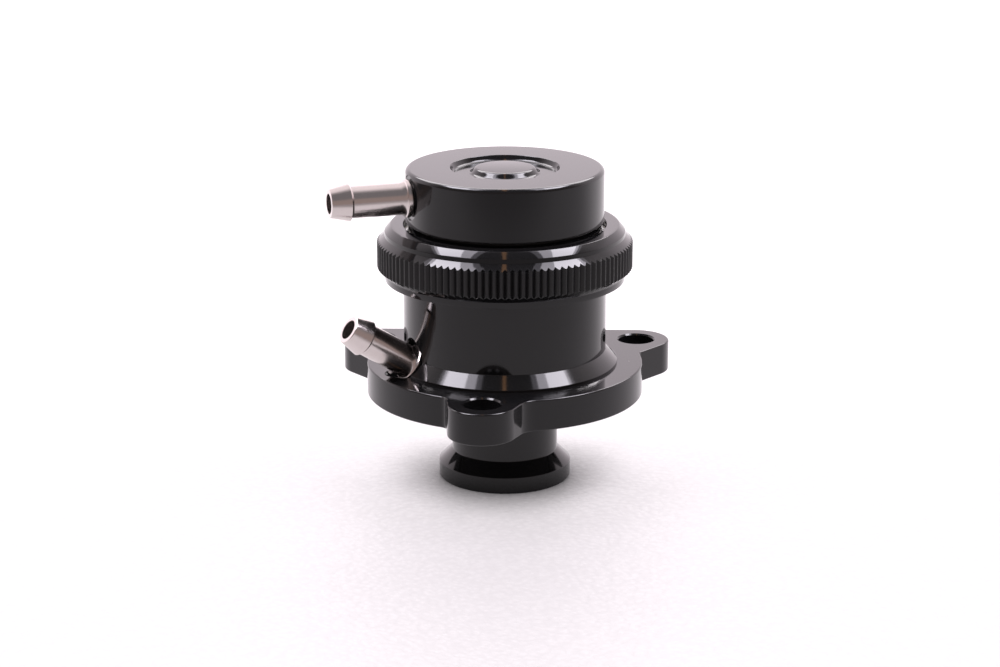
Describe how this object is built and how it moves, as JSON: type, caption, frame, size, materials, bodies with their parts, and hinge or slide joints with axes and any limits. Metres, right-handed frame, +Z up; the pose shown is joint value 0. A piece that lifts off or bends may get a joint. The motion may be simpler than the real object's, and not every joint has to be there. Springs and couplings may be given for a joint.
{
  "type": "blow off valve",
  "caption": "Piston blow off valve with an eared flange, a knurled locking collar, a swivelling cap and barbed hose nipples; its flared nose lifts against a spring.",
  "frame": {"origin": "middle of the flat underside of the piston's flared lip, on which the valve stands", "axes": "+Z up along the axis of the piston, cap and collar; -Y towards the front ear of the flange and the viewer, -X towards the side that the hose nipples leave"},
  "size_m": [0.0657, 0.0608, 0.0609],
  "materials": {
    "anodised_body": "satin black anodised",
    "anodised_collar": "bright black anodised",
    "stainless_steel": "turned and polished",
    "spring_steel": "bright drawn wire",
    "bronze": "sintered",
    "rubber": "moulded, matt",
    "ptfe": "machined, waxy",
    "black_steel": "black oxide"
  },
  "bodies": {
    "housing": {"valve_body": "anodised_body", "guide_bush": "bronze", "seal_retainer": "spring_steel", "nose_seal": "rubber", "flange_face_o_ring": "rubber", "cap_o_ring": "rubber", "body_nipple": "stainless_steel"},
    "piston": {"piston_nose": "anodised_body", "piston_crown": "anodised_body", "piston_screw": "black_steel", "piston_o_ring": "rubber", "piston_wear_band": "ptfe"},
    "cap": {"cap": "anodised_body", "cap_nipple": "stainless_steel", "collar_slip_ring": "ptfe", "spring_shim": "stainless_steel", "return_spring": "spring_steel"},
    "collar": {"locking_collar": "anodised_collar"}
  },
  "joints": [
    {"name": "piston_slide", "type": "slide", "parent": "housing", "child": "piston", "axis": [0, 0, 1], "range_m": [0, 0.009], "stiffness_N_per_m": 2000, "springref_m": -0.01, "deforming": ["return_spring"]},
    {"name": "cap_swivel", "type": "hinge", "parent": "housing", "child": "cap", "pos_m": [0, 0, 0.05], "axis": [0, 0, 1], "continuous": true},
    {"name": "collar_turn", "type": "hinge", "parent": "housing", "child": "collar", "pos_m": [0, 0, 0.045], "axis": [0, 0, 1], "range_deg": [0, 120]}
  ]
}
